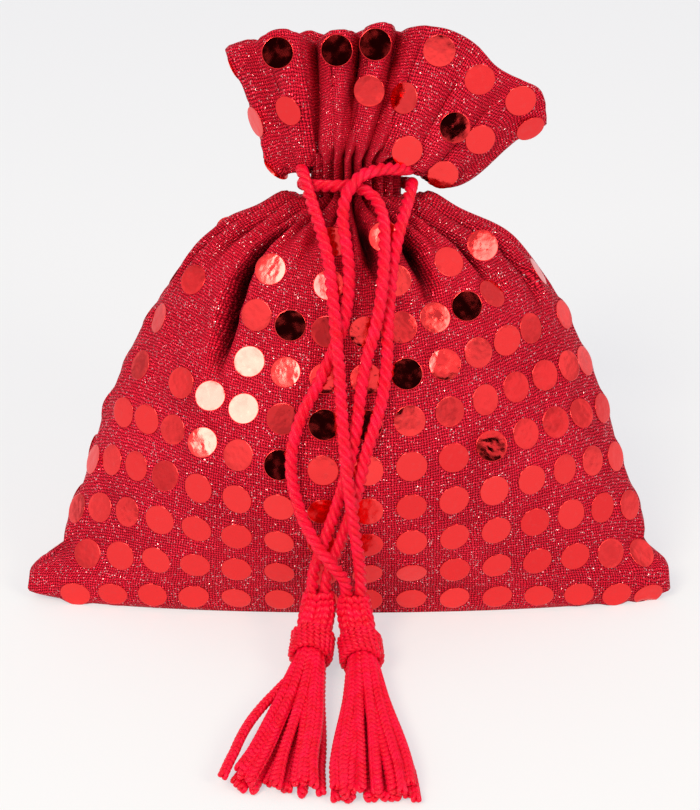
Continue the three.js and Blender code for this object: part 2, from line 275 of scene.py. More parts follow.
def add_piece(name, points, faces, material, uv=None, tone_and_fold_shade=None):
    mesh = bpy.data.meshes.new(name)
    mesh.from_pydata((np.asarray(points) * MM).tolist(), [], [list(map(int, f)) for f in faces])
    if uv is not None:
        layer = mesh.uv_layers.new(name="weave")
        layer.uv.foreach_set("vector", np.asarray(uv, np.float32).ravel())
    if tone_and_fold_shade is not None:
        mesh.attributes.new("tone_and_fold_shade", "FLOAT", "POINT").data.foreach_set(
            "value", np.asarray(tone_and_fold_shade, np.float32))
    mesh.shade_smooth()
    mesh.materials.append(material)
    piece = bpy.data.objects.new(name, mesh)
    scene.collection.objects.link(piece)
    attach(piece, "root")
    return piece


def tube(line, radii, turn=0.0):
    """Closed tube round a line; turn is how far its section turns, in radians a millimetre."""
    rows, sides = len(line), len(radii)
    _, side, up = frames(line)
    at = lengths(line)
    angle = 2 * np.pi * np.arange(sides + 1) / sides + turn * at[:, None]
    ring = angle[:, :-1, None]
    points = line[:, None] + radii[:, None] * (np.cos(ring) * side[:, None] + np.sin(ring) * up[:, None])
    faces = grid_faces(rows, sides).tolist()
    faces += [list(range(sides))[::-1], list(range((rows - 1) * sides, rows * sides))]
    uv = grid_uv(angle / (2 * np.pi), np.repeat(at[:, None], sides + 1, 1))
    return points.reshape(-1, 3), faces, np.vstack([uv, np.zeros((2 * sides, 2))])


def join(parts):
    points, faces, uv, start = [], [], [], 0
    for p, f, t in parts:
        points.append(p)
        faces += [[start + k for k in face] for face in f]
        uv.append(t)
        start += len(p)
    return np.vstack(points), faces, np.vstack(uv)


# Materials


class Nodes:
    def __init__(self, name):
        self.material = bpy.data.materials.new(name)
        self.material.use_nodes = True
        self.tree = self.material.node_tree
        self.tree.nodes.clear()

    def add(self, kind, props=None, **sockets):
        node = self.tree.nodes.new("ShaderNode" + kind)
        for key, value in (props or {}).items():
            setattr(node, key, value)
        for key, value in sockets.items():
            socket = node.inputs[int(key[1:]) if key[0] == "i" and key[1:].isdigit()
                                 else key.replace("_", " ")]
            if isinstance(value, bpy.types.NodeSocket):
                self.tree.links.new(value, socket)
            else:
                socket.default_value = value
        return node

    def math(self, operation, a, b=0.0):
        return self.add("Math", {"operation": operation}, i0=a, i1=b).outputs[0]

    def mix(self, factor, a, b):
        node = self.add("Mix", {"data_type": "RGBA"}, i0=factor, i6=a, i7=b)
        return node.outputs[2]

    def ramp(self, value, low, high, to_low=0.0, to_high=1.0):
        return self.add("MapRange", {"clamp": True}, i0=value, i1=low, i2=high, i3=to_low,
                        i4=to_high).outputs[0]

    def noise(self, vector, scale, detail=2.0):
        return self.add("TexNoise", {"noise_dimensions": "3D"}, Vector=vector, Scale=scale,
                        Detail=detail).outputs[0]

    def finish(self, shader):
        out = self.add("OutputMaterial")
        self.tree.links.new(shader.outputs[0], out.inputs[0])
        return self.material


def rgba(r, g, b):
    return (r, g, b, 1.0)


YARN_DARK, YARN_LIGHT = rgba(0.84, 0.0, 0.018), rgba(1.0, 0.003, 0.056)


def glitter_material():
    n = Nodes("glitter_fabric")
    uv = n.add("UVMap", {"uv_map": "weave"}).outputs[0]
    wobble = n.add("TexNoise", {"noise_dimensions": "2D"}, Vector=uv, Scale=0.55, Detail=2.0).outputs[1]
    shift = n.add("VectorMath", {"operation": "SUBTRACT"}, i0=wobble, i1=(0.5, 0.5, 0.5)).outputs[0]
    shift = n.add("VectorMath", {"operation": "SCALE"}, i0=shift, Scale=0.55).outputs[0]
    place = n.add("VectorMath", {"operation": "ADD"}, i0=uv, i1=shift).outputs[0]
    axes = n.add("SeparateXYZ", None, Vector=place)
    wave = [n.math("SINE", n.math("MULTIPLY", axes.outputs[k], math.pi / THREAD_PITCH)) for k in (0, 1)]
    warp, weft = (n.math("ABSOLUTE", n.math("COSINE", n.math(
        "MULTIPLY", axes.outputs[k], math.pi / THREAD_PITCH))) for k in (0, 1))
    over = n.ramp(n.math("MULTIPLY", wave[0], wave[1]), -0.35, 0.35)
    top = n.math("MULTIPLY", n.math("SUBTRACT", 1.0, warp), over)
    cross = n.math("MULTIPLY", n.math("SUBTRACT", 1.0, weft), n.math("SUBTRACT", 1.0, over))
    height = n.math("ADD", top, cross)
    flakes = n.add("TexVoronoi", {"voronoi_dimensions": "2D"}, Vector=uv, Scale=5.0)
    chance = n.add("SeparateColor", None, Color=flakes.outputs[1])
    lying = n.ramp(height, 0.25, 0.5)
    glint = n.math("MULTIPLY", n.math("GREATER_THAN", chance.outputs[0], 0.66), lying)
    spark = n.math("GREATER_THAN", chance.outputs[1], 0.968)
    cloud = n.noise(uv, 0.045, 3.0)
    # painted shade: where the weave lies low, between the threads, its colour is near black red
    weave_gap_shade = n.mix(n.ramp(cloud, 0.35, 0.65), rgba(0.10, 0.0, 0.004), rgba(0.17, 0.0, 0.006))
    bright = n.mix(n.ramp(cloud, 0.35, 0.65), rgba(0.74, 0.008, 0.034), rgba(0.92, 0.014, 0.050))
    colour = n.mix(n.ramp(height, 0.10, 0.55), weave_gap_shade, bright)
    colour = n.mix(n.math("MULTIPLY", glint, 0.8), colour, rgba(1.0, 0.05, 0.10))
    painted_fold_shade = n.add("Attribute", {"attribute_name": "tone_and_fold_shade"}).outputs[2]
    # painted highlight: the sparse flecks are coloured pale pink so that they sparkle under any light; their
    # metallic shine is real
    colour = n.mix(spark, colour, rgba(1.0, 0.50, 0.52))
    # painted shade: the cloth turns near black where its folds lie deep, following the fold depth that its
    # attribute carries
    colour = n.mix(n.math("MULTIPLY", painted_fold_shade, 0.93), colour, rgba(0.02, 0.0, 0.001))
    tilt = n.add("VectorMath", {"operation": "SUBTRACT"}, i0=flakes.outputs[1], i1=(0.5, 0.5, 0.5)).outputs[0]
    shiny = n.math("MAXIMUM", glint, spark)
    tilt = n.add("VectorMath", {"operation": "SCALE"}, i0=tilt,
                 Scale=n.math("MULTIPLY", shiny, 1.1)).outputs[0]
    normal = n.add("NewGeometry").outputs[1]
    normal = n.add("VectorMath", {"operation": "ADD"}, i0=normal, i1=tilt).outputs[0]
    normal = n.add("VectorMath", {"operation": "NORMALIZE"}, i0=normal).outputs[0]
    bump = n.add("Bump", None, Strength=0.55, Distance=0.0002, Height=height, Normal=normal).outputs[0]
    shader = n.add("BsdfPrincipled", None, Base_Color=colour, Normal=bump,
                   Metallic=n.math("MULTIPLY", shiny, 0.9),
                   Roughness=n.ramp(shiny, 0, 1, 0.62, 0.25))
    shader.inputs["Specular IOR Level"].default_value = 0.05
    shader.inputs["Sheen Weight"].default_value = 0.01
    shader.inputs["Sheen Roughness"].default_value = 0.4
    shader.inputs["Sheen Tint"].default_value = rgba(1.0, 0.4, 0.45)
    return n.finish(shader)


def sequin_material():
    n = Nodes("sequin")
    uv = n.add("UVMap", {"uv_map": "weave"}).outputs[0]
    # on the dots this attribute holds only a random tone for each dot
    tone_and_fold_shade = n.add("Attribute", {"attribute_name": "tone_and_fold_shade"}).outputs[2]
    colour = n.mix(tone_and_fold_shade, rgba(0.84, 0.034, 0.038), rgba(0.97, 0.054, 0.054))
    scratch = n.noise(uv, 1.7, 4.0)
    dust = n.ramp(n.noise(uv, 0.9, 2.0), 0.55, 0.75)
    colour = n.mix(n.math("MULTIPLY", dust, 0.18), colour, rgba(0.75, 0.10, 0.10))
    bump = n.add("Bump", None, Strength=0.05, Distance=0.0003, Height=scratch).outputs[0]
    bump = n.add("Bump", None, Strength=0.13, Distance=0.0006, Height=n.noise(uv, 0.5, 1.0),
                 Normal=bump).outputs[0]
    worn = n.add("VectorMath", {"operation": "ADD"}, i0=uv, i1=(31.0, 17.0, 0.0)).outputs[0]
    shader = n.add("BsdfPrincipled", None, Base_Color=colour, Normal=bump, Metallic=1.0,
                   Roughness=n.ramp(n.noise(worn, 0.42, 2.0), 0.4, 0.62, 0.05, 0.19))
    return n.finish(shader)


def yarn_material(name, strands):
    """Silky thread: fine filaments that follow the tube's own coordinates."""
    n = Nodes(name)
    uv = n.add("UVMap", {"uv_map": "weave"}).outputs[0]
    axes = n.add("SeparateXYZ", None, Vector=uv)
    fine = n.math("SINE", n.math("MULTIPLY", axes.outputs[0], strands * 2 * math.pi))
    place = n.add("NewGeometry").outputs[0]
    cloud = n.noise(place, 420.0, 3.0)
    fuzz = n.noise(place, 3800.0, 2.0)
    colour = n.mix(n.ramp(cloud, 0.3, 0.7), YARN_DARK, YARN_LIGHT)
    # painted shade: the yarn darkens towards deep red in the grooves between its fine filaments
    colour = n.mix(n.ramp(n.math("ADD", fine, n.math("MULTIPLY", fuzz, 1.4)), -0.6, 1.9, 0.22, 0.0),
                   colour, rgba(0.30, 0.0, 0.015))
    bump = n.add("Bump", None, Strength=0.35, Distance=0.0001,
                 Height=n.math("ADD", fine, fuzz)).outputs[0]
    shader = n.add("BsdfPrincipled", None, Base_Color=colour, Normal=bump,
                   Roughness=n.ramp(fuzz, 0.3, 0.7, 0.24, 0.42))
    shader.inputs["Specular IOR Level"].default_value = 0.22
    shader.inputs["Sheen Weight"].default_value = 0.06
    shader.inputs["Sheen Roughness"].default_value = 0.35
    shader.inputs["Sheen Tint"].default_value = rgba(1.0, 0.35, 0.55)
    return n.finish(shader)


CLOTH = glitter_material()
FILM = sequin_material()
ROPE = yarn_material("cord", 34)
YARN = yarn_material("tassel_yarn", 9)
THREAD = yarn_material("binding_thread", 9)


# Cords


def rope_section(sides):
    away = (np.arange(sides) * 2 * np.pi / sides + np.pi / 3) % (2 * np.pi / 3) - np.pi / 3
    return STRAND_OFFSET * np.cos(away) + np.sqrt(STRAND_RADIUS**2 - (STRAND_OFFSET * np.sin(away)) ** 2)


def cord(name, route):
    line = smooth_line(route, 0.42)
    points, faces, uv = tube(line, rope_section(30), -2 * np.pi / CORD_LAY)
    piece = add_piece(name, points, faces, ROPE, uv)
    return piece, line


# Tassels


def lobe_shape(around=7, rings=5):
    polar = np.pi * np.arange(1, rings) / rings
    turn = 2 * np.pi * np.arange(around) / around
    ring = np.stack([np.repeat(np.cos(polar)[:, None], around, 1),
                     np.sin(polar)[:, None] * np.cos(turn), np.sin(polar)[:, None] * np.sin(turn)], -1)
    points = np.vstack([[(1, 0, 0)], ring.reshape(-1, 3), [(-1, 0, 0)]])
    faces = (grid_faces(rings - 1, around) + 1).tolist()
    last, start = len(points) - 1, 1 + (rings - 2) * around
    for j in range(around):
        k = (j + 1) % around
        faces += [[0, 1 + k, 1 + j], [last, start + j, start + k]]
    return points, faces


LOBE = lobe_shape()


def chain_yarn(line, radius, spin, stitch=STITCH):
    """Chain-stitch yarn: four columns of slanted loops, mirrored in turn, that overlap."""
    along, side, up = frames(line)
    at = lengths(line)
    shape, shape_faces = LOBE
    parts = []
    for wale in range(4):
        angle = spin + wale * np.pi / 2
        slant = math.radians(30) * (1 if wale % 2 else -1)
        stitches = np.arange(0.45 * stitch, at[-1] - 0.3 * stitch, stitch)
        pick = [np.stack([np.interp(stitches, at, m[:, k]) for k in range(3)], 1)
                for m in (line, along, side, up)]
        centre, a, s, u = pick
        out = math.cos(angle) * s + math.sin(angle) * u
        across = -math.sin(angle) * s + math.cos(angle) * u
        long_way = math.cos(slant) * a + math.sin(slant) * across
        cross_way = -math.sin(slant) * a + math.cos(slant) * across
        middle = centre + out * radius * 0.5
        points = (middle[:, None] + shape[None, :, 0:1] * long_way[:, None] * stitch * 0.80
                  + shape[None, :, 1:2] * cross_way[:, None] * radius * 0.56
                  + shape[None, :, 2:3] * out[:, None] * radius * 0.50)
        turn = np.arctan2(shape[:, 2], shape[:, 1]) / (2 * np.pi)
        for block in points:
            corner = [(turn[k], shape[k, 0] * stitch) for f in shape_faces for k in f]
            parts.append((block, shape_faces, np.array(corner)))
    return parts


def tassel(name):
    axis = smooth_line(TASSEL_AXES[name], 0.25)
    share = lengths(axis) / lengths(axis)[-1]
    along = unit(np.gradient(axis, axis=0))
    side = unit(np.array([1.0, 0, 0]) - along * along[:, :1])
    up = np.cross(side, along)
    half_w = np.interp(share, TASSEL_SHARES, TASSEL_WIDTHS + [SKIRT_END[name]])
    half_h = np.interp(share, TASSEL_SHARES, TASSEL_HEIGHTS)
    place = lambda a, b: axis + side * a[:, None] + up * b[:, None]
    parts = []
    outer, inner = 12, 9
    spread = step_in(share, 0.27, 0.92)
    for layer, count in ((0, outer), (1, inner)):
        for k in range(count):
            angle = 2 * np.pi * (k + 0.5 * layer + 0.25) / count
            keep = 1.0 if layer == 0 else 0.45
            a0 = np.cos(angle) * keep * (half_w - YARN_RADIUS)
            b0 = np.sin(angle) * keep * (half_h - YARN_RADIUS)
            # in the skirt the yarns lie side by side in two layers
            order = np.cos(angle) * (1.0 if layer == 0 else 0.72) + draw.normal(0, 0.05)
            a1 = order * (half_w - 0.4)
            b1 = np.where(np.sin(angle) > 0, 1.0, -1.0) * (half_h - YARN_RADIUS) + draw.normal(0, 0.12)
            wave = 0.35 * spread * np.sin(share * draw.uniform(5, 9) + draw.uniform(0, 6.3))
            a = a0 + (a1 - a0) * spread + wave
            if name == "left" and layer == 0 and k == LOOSE_YARN:
                a = a - 2.4 * np.sin(np.pi * np.clip((share - 0.42) / 0.58, 0, 1))
            b = b0 + (b1 - b0) * spread
            line = place(a, b)
            line[:, 2] = np.maximum(line[:, 2], YARN_RADIUS + 0.12)
            first = 0.0 if layer == 0 else 0.27
            last = 1.0 - abs(draw.normal(0, 0.022))
            line = line[(share >= first) & (share <= last)]
            parts += chain_yarn(resample(line, len(line)), YARN_RADIUS, draw.uniform(0, 1.57))
    points, faces, uv = join(parts)
    strands = add_piece(f"tassel_{name}_yarns", points, faces, YARN, uv)
    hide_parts(f"tassel_{name}_strands")
    # wound thread
    steps = BINDING_TURNS * 44
    turn = 2 * np.pi * BINDING_TURNS * np.linspace(0, 1, steps)
    at = np.linspace(BINDING_SPAN[0] + 0.008, BINDING_SPAN[1] - 0.008, steps)
    pick = lambda m: np.stack([np.interp(at, share, m[:, k]) for k in range(3)], 1)
    reach_w = np.interp(at, share, half_w) + BINDING_MIDDLE - 0.05
    reach_h = np.interp(at, share, half_h) + BINDING_MIDDLE - 0.05
    coil = pick(axis) + pick(side) * (reach_w * np.cos(turn))[:, None] + pick(up) * (
        reach_h * np.sin(turn))[:, None]
    points, faces, uv = join(chain_yarn(smooth_line(coil[::4], 0.3), BINDING_RADIUS, 0.4, BINDING_STITCH))
    binding = add_piece(f"tassel_{name}_thread", points, faces, THREAD, uv)
    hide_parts(f"tassel_{name}_binding")
    return [strands, binding]


# Cloth of the pouch


def cubic(stations, values, at):
    """Cubic through the stations with no bend at its ends, as the rings of part.mjs have."""
    out = np.empty((len(at), values.shape[1]))
    last = len(stations) - 1
    for row, t in enumerate(at):
        i = int(np.clip(np.searchsorted(stations, t, side="right") - 1, 0, last - 1))
        t0, t1 = stations[i], stations[i + 1]
        v0, v1 = values[i], values[i + 1]
        before = (stations[i - 1], values[i - 1]) if i > 0 else (t1, v1)
        after = (stations[i + 2], values[i + 2]) if i + 2 <= last else (t0, v0)
        p = (t - t0) / (t1 - t0)
        wp = 0.5 * (t1 - t0) / (t0 - before[0])
        wn = 0.5 * (t1 - t0) / (after[0] - t1)
        out[row] = ((-wp * p**3 + 2 * wp * p**2 - wp * p) * before[1]
                    + ((1 + wp) * p**3 + (-1.5 - 2 * wp) * p**2 + (-0.5 + wp) * p + 1) * v0
                    + ((-1 - wn) * p**3 + (1.5 + wn) * p**2 + 0.5 * p) * v1
                    + (wn * p**3 - wn * p**2) * after[1])
    return out


def body_rings(levels, samples=120):
    """Smooth rings of the pouch, from the front's middle to the right and round."""
    left, right, side, front, back = (m[:, None] for m in cubic(FORM[:, 0], FORM[:, 1:], levels).T)
    theta = np.linspace(-np.pi / 2, 1.5 * np.pi, 4 * samples + 1)
    c, s = np.cos(theta), np.sin(theta)
    level = levels[:, None]
    power = 1.35 - 0.35 * np.clip((level - 0.72) / 0.28, 0, 1)
    lean = NECK_LEAN * np.clip((level - 0.66) / 0.34, 0, 1) ** 2
    x = np.where(c > 0, np.minimum(right, 1), np.minimum(left, 1)) * BASE_HALF * c
    y = (side + np.abs(s) ** power * (np.where(s < 0, front, back) - side)) * BELLY_HALF
    z = level * SHOULDER_HEIGHT - lean * (y - side * BELLY_HALF)
    return np.stack([x, y, z + 0 * x], -1)


U = -GIRTH / 2 + GIRTH * np.arange(COLUMNS) / COLUMNS


def spread_round(ring, front_scale):
    """Points of one ring at the cloth's columns; the front's middle keeps front_scale."""
    at = lengths(ring)
    n = (len(ring) - 1) // 4
    marks = at[[0, n, 2 * n, 3 * n, 4 * n]]
    away = np.abs(U)
    front = away <= QUARTER
    p = np.where(front, away, GIRTH / 2 - away) / QUARTER
    goal = np.zeros(COLUMNS)
    for q, start in ((0, True), (1, False), (2, True), (3, False)):
        long = marks[q + 1] - marks[q]
        pull = np.clip(front_scale * QUARTER / long, 0.8, 1.4)
        if q in (1, 2):
            pull = 1 + 0.4 * (pull - 1)
        g = long * (pull * p - (pull - 1) * p**3)
        mine = (front if q in (0, 3) else ~front) & ((U >= 0) if q in (0, 1) else (U < 0))
        goal[mine] = (marks[q] + g if start else marks[q + 1] - g)[mine]
    return np.stack([np.interp(goal, at, ring[:, k]) for k in range(3)], 1)


def cyclic_gap(a, b):
    return (a - b + GIRTH / 2) % GIRTH - GIRTH / 2


def normals_of(grid):
    du = np.roll(grid, -1, 1) - np.roll(grid, 1, 1)
    dv = np.gradient(grid, axis=0)
    return unit(np.cross(du, dv))


def gather_wave():
    """0 in the valleys of the gathers and 1 on their ridges, round the cloth."""
    marks = np.array(GATHERS + [GATHERS[0] + GIRTH])
    at = np.where(U < marks[0], U + GIRTH, U)
    k = np.clip(np.searchsorted(marks, at, side="right") - 1, 0, len(marks) - 2)
    share = (at - marks[k]) / (marks[k + 1] - marks[k])
    return np.sin(np.pi * np.clip(share, 0, 1)) ** 0.8


def swell(u, v, count, low, high, seed):
    """Smooth seeded unevenness between -1 and 1 that joins up round the cloth."""
    own = np.random.default_rng(seed)
    total = 0
    for _ in range(count):
        m = own.integers(low, high)
        k = own.uniform(-1, 1) * high / GIRTH
        total = total + np.sin(2 * np.pi * (m * u / GIRTH + k * v) + own.uniform(0, 6.3))
    return total / count**0.5 * 0.7


def rim_line():
    front = smooth_line(RIM_FRONT, 0.3)
    back = smooth_line([RIM_FRONT[-1]] + RIM_BACK + [RIM_FRONT[0]], 0.3)
    on_front = (U >= -QUARTER) & (U <= QUARTER)
    share = np.where(on_front, (U + QUARTER) / (GIRTH / 2), ((U - QUARTER) % GIRTH) / (GIRTH / 2))
    rim = np.empty((COLUMNS, 3))
    for line, mine in ((front, on_front), (back, ~on_front)):
        at = lengths(line) / lengths(line)[-1]
        rim[mine] = np.stack([np.interp(share[mine], at, line[:, k]) for k in range(3)], 1)
    for _ in range(2):
        rim = (np.roll(rim, 1, 0) + 2 * rim + np.roll(rim, -1, 0)) / 4
    return rim


def cloth_grid():
    fine = np.linspace(0, 1, 401)
    rings = body_rings(fine)
    climb = np.linalg.norm(np.diff(rings, axis=0), axis=2).mean(1)
    climb = np.concatenate([[0], np.cumsum(climb)])
    levels = np.interp(np.linspace(0, climb[-1], BODY_ROWS), climb, fine)
    rings = body_rings(levels)
    heights, scales = np.array(FRONT_SCALE).T
    body = np.stack([spread_round(r, np.interp(t * SHOULDER_HEIGHT, heights, scales))
                     for r, t in zip(rings, levels)])
    v = np.cumsum(np.concatenate([np.zeros((1, COLUMNS)),
                                  np.linalg.norm(np.diff(body, axis=0), axis=2)]), 0)
    v = v / v[-1] * V_SHOULDER
    neck = np.stack([body[-1] + (0, 0, NECK_HEIGHT * k / NECK_ROWS) for k in range(1, NECK_ROWS + 1)])
    grid = np.concatenate([body, neck])
    t = np.concatenate([levels, np.ones(NECK_ROWS)])[:, None]
    v_neck = V_SHOULDER + (V_NECK - V_SHOULDER) * np.arange(1, NECK_ROWS + 1) / NECK_ROWS
    v = np.concatenate([v, np.repeat(v_neck[:, None], COLUMNS, 1)])

    # folds, pressed in along the smooth surface's normals
    normal = normals_of(grid)
    for _ in range(3):
        normal[1:-1] = unit(normal[:-2] + 2 * normal[1:-1] + normal[2:])
    press = np.zeros(grid.shape[:2])
    near_neck = 1 - step_in(t, 0.925, 0.995)
    for where, depth, start in PLEATS:
        gap = cyclic_gap(U, where)[None]
        rise = step_in(t, start - 0.03, start + 0.2) * near_neck * depth
        wide = PLEAT_WIDTH + PLEAT_WIDENS * step_in(t, start, 0.95)
        lips = np.exp(-((np.abs(gap) - 2.4 * wide) / wide) ** 2)
        press += rise * (np.exp(-(gap / wide) ** 2) - 0.10 * lips)
    from_front = np.minimum(np.abs(U), GIRTH / 2 - np.abs(U))[None]
    start = 0.82 - 0.08 * step_in(from_front, 15, 55)
    gathered = np.clip((t - start) / (0.985 - start), 0, 1) ** 1.7
    press += gathered * GATHER_DEPTH * (1 - gather_wave())[None]
    puff = np.exp(-((v - PUFF_V) / np.where(v < PUFF_V, PUFF_OUT, PUFF_IN)) ** 2)
    puff = puff * np.interp(U, *np.array(DROOP).T)[None] / DROOP_MOST
    press -= PUFF * puff * (0.45 + 0.55 * gather_wave()[None])
    press -= NECK_RIDGE * step_in(t, 0.985, 1.0) * gather_wave()[None]
    seam = np.exp(-((np.abs(U) - QUARTER) / SEAM_WIDE) ** 2)[None]
    press += SEAM_DENT * seam * step_in(t, 0.02, 0.12) * (1 - step_in(t, 0.9, 0.97))
    beside = np.exp(-((np.abs(U) - QUARTER) / SIDE_WIDE) ** 2)[None] * step_in(t, 0.985, 1.0)
    press = press * (1 - beside) - SIDE_RIDGE * beside
    ear = np.exp(-((v - EAR_V) / EAR_HIGH) ** 2) * np.exp(-((np.abs(U)[None] - EAR_U) / EAR_WIDE) ** 2)
    press += EAR_DENT * ear
    calm = step_in(t, 0.0, 0.08) * (1 - 0.6 * step_in(t, 0.9, 1))
    press += calm * (0.45 + 0.45 * swell(U[None], v, 7, 2, 9, 5))
    press += calm * 0.18 * swell(U[None], v, 9, 12, 30, 6)
    grid = grid - normal * press[..., None]

    # frill, from the gathered neck to the rim
    rim = rim_line()
    low = grid[-1]
    rise = np.arange(1, FRILL_ROWS + 1)[:, None, None] / FRILL_ROWS
    loose = normals_of(grid)[-1] * GATHER_DEPTH * 0.72 * (1 - gather_wave())[:, None]
    loose = low[None] + loose[None] * step_in(rise, 0.02, 0.3) * 0.8
    flat = loose + (rim - loose) * rise
    flat[..., 2] = low[None, :, 2] + (rim - low)[None, :, 2] * rise[..., 0] ** FRILL_BOW
    droop = np.interp(U, *np.array(DROOP).T)[None]
    hang = step_in(rise[..., 0], 0.10, 0.24) * (1 - step_in(rise[..., 0], 0.26, 0.95))
    flat[..., 2] -= hang * droop
    out = unit(low[:, :2] - NECK_CENTRE)[None] * (droop / DROOP_MOST * OVERHANG)[..., None]
    flat[..., :2] += out * (step_in(rise, 0.05, 0.15) * (1 - step_in(rise, 0.25, 0.8)))
    frill_v = V_NECK + (V_RIM - V_NECK) * np.repeat(rise[:, :, 0], COLUMNS, 1)
    ripple = np.sin(np.pi * rise[:, :, 0]) * 0.22 * swell(U[None], frill_v, 8, 6, 18, 9)
    frill = flat + normals_of(flat) * ripple[..., None]
    grid = np.concatenate([grid, frill])
    v = np.concatenate([v, frill_v])
    tight = GATHER_DEPTH * (1 - gather_wave())[None] * (1 - step_in(rise[:, :, 0], 0.05, 0.6))
    fold = np.concatenate([np.zeros((BASE_ROWS, COLUMNS)), press, tight])

    # underside, drawn together to the bottom seam
    edge = grid[0]
    inward = np.arange(BASE_ROWS, 0, -1)[:, None] / BASE_ROWS
    base = np.empty((BASE_ROWS, COLUMNS, 3))
    base[..., 0] = edge[None, :, 0] * (1 - 0.06 * inward)
    base[..., 1] = edge[None, :, 1] * (1 - 0.975 * inward)
    base[..., 2] = 0.25 + 1.3 * inward**6
    grid = np.concatenate([base, grid])
    v = np.concatenate([-UNDER * np.repeat(inward, COLUMNS, 1), v])
    return grid, v, fold


def add_hem(grid, v):
    """The rim turned in: rolled over and down inside the frill."""
    normal = normals_of(grid)
    up = unit(grid[-1] - grid[-2])
    half = HEM_GAP / 2
    roll = [grid[-1] - normal[-1] * half * (1 - math.cos(a)) + up * half * math.sin(a)
            for a in np.radians([45, 90, 135, 180])]
    inside = [grid[-k] - normal[-k] * HEM_GAP for k in range(2, HEM_ROWS + 2)]
    hem_v = [v[-1] + HEM_ROLL_STEP * k for k in range(1, 5)]
    hem_v += [2 * v[-1] + 4 * HEM_ROLL_STEP - v[-k] for k in range(2, HEM_ROWS + 2)]
    return np.concatenate([grid, roll, inside]), np.concatenate([v, hem_v])


def project(points):
    """Where the points show in the photograph, in its pixels."""
    tilt = math.radians(CAMERA_TILT)
    away = np.asarray(points) - CAMERA_AT
    depth = away @ np.array([0, math.sin(tilt), -math.cos(tilt)])
    high = away @ np.array([0, math.cos(tilt), math.sin(tilt)])
    focal = CAMERA_LENS / SENSOR * PHOTO_HEIGHT
    return np.stack([PHOTO_WIDTH / 2 + focal * away[..., 0] / depth,
                     PHOTO_HEIGHT / 2 - focal * high / depth], -1)


def fit_dot(grid, v, v_dot, j):
    """The plane of a dot at that place on the cloth, and how unevenly the cloth lies to it."""
    i = int(np.searchsorted(v[:, j], v_dot))
    cols = np.arange(j - 5, j + 6) % COLUMNS
    window = grid[max(0, i - 6):i + 7][:, cols].reshape(-1, 3)
    share = (v_dot - v[i - 1, j]) / (v[i, j] - v[i - 1, j])
    centre = grid[i - 1, j] + (grid[i, j] - grid[i - 1, j]) * share
    near = window[np.linalg.norm(window - centre, axis=1) < DOT_RADIUS * 1.05]
    middle = near.mean(0)
    _, _, axes = np.linalg.svd(near - middle)
    facing = normals_of(grid[i - 1:i + 2])[1, j]
    normal = axes[2] * (1 if axes[2] @ facing > 0 else -1)
    off = (near - middle) @ normal
    uneven = off.std() + (9 if normal @ facing < 0.5 else 0)
    seat = 0.0
    if v_dot > V_NECK:
        about = grid[i - 1:i + 2][:, np.arange(j - 12, j + 13) % COLUMNS].reshape(-1, 3)
        uneven -= 0.6 * ((centre - about.mean(0)) @ normal)
        seat = np.percentile(off, 80)
    return uneven, centre - normal * ((centre - middle) @ normal - seat), normal, i


def find_dots(grid, v, fold):
    """Centre and normal of every dot that the cloth has room for."""
    dots = []
    first = COLUMNS // 2 + 5
    for v_dot in np.arange(DOT_FIRST, V_RIM, DOT_PITCH):
        if V_SHOULDER - 4 < v_dot < V_NECK + 2:
            continue
        slide = (0,) if v_dot < V_NECK else (0, 1, -1, 2, -2, 3, -3, 4, -4, 5, -5)
        for k in range(DOT_COUNT):
            tries = []
            for shift in slide:
                j = (first + COLUMNS // DOT_COUNT * k + shift) % COLUMNS
                uneven, centre, normal, i = fit_dot(grid, v, v_dot, j)
                if fold[i, j] < DOT_FOLD:
                    tries.append((uneven + 0.02 * abs(shift), abs(shift), i, j, centre, normal))
            if not tries:
                continue
            uneven, _, i, j, centre, normal = min(tries, key=lambda one: one[:2])
            if uneven > next(most for below, most in DOT_UNEVEN if v_dot < below):
                continue
            if any(np.linalg.norm(centre - d[0]) < 1.95 * DOT_RADIUS for d in dots):
                continue
            dots.append((centre, normal, i, j))
    return dots


def lean_dots(dots):
    """Small leans: each dot sits its own way, and those of the photo's glints face their light."""
    seen = project(np.array([d[0] for d in dots]))
    names = {}
    for kind, marks in (("dark", DARK_DOTS), ("bright", BRIGHT_DOTS)):
        for mark in marks:
            gap = np.linalg.norm(seen - mark, axis=1)
            facing = np.array([d[1] @ unit(CAMERA_AT - d[0]) for d in dots])
            gap[facing < 0.2] = 999
            best = int(gap.argmin())
            if gap[best] < MARK_REACH:
                names[best] = kind
    out = []
    for k, (centre, normal, i, j) in enumerate(dots):
        normal = unit(normal + draw.normal(0, LEAN, 3))
        view = unit(CAMERA_AT - centre)
        back = 2 * normal * (normal @ view) - view
        if k in names:
            goal = DARK_DIRECTION if names[k] == "dark" else unit(KEY_AT - centre)
            wanted = unit(view + goal)
            turn = math.degrees(math.acos(np.clip(wanted @ normal, -1, 1)))
            normal = unit(normal + (wanted - normal) * min(1, LEAN_MOST / max(turn, 1e-6)))
        elif normal @ view > 0.2:
            near = math.degrees(math.acos(np.clip(back @ DARK_DIRECTION, -1, 1)))
            if near < DARK_RADIUS + 3:
                goal = unit(back - DARK_DIRECTION * (back @ DARK_DIRECTION))
                angle = math.radians(DARK_RADIUS + 4)
                wanted = unit(view + DARK_DIRECTION * math.cos(angle) + goal * math.sin(angle))
                normal = wanted  # out of the dark patch
        out.append((centre, normal, i, j))
    return out


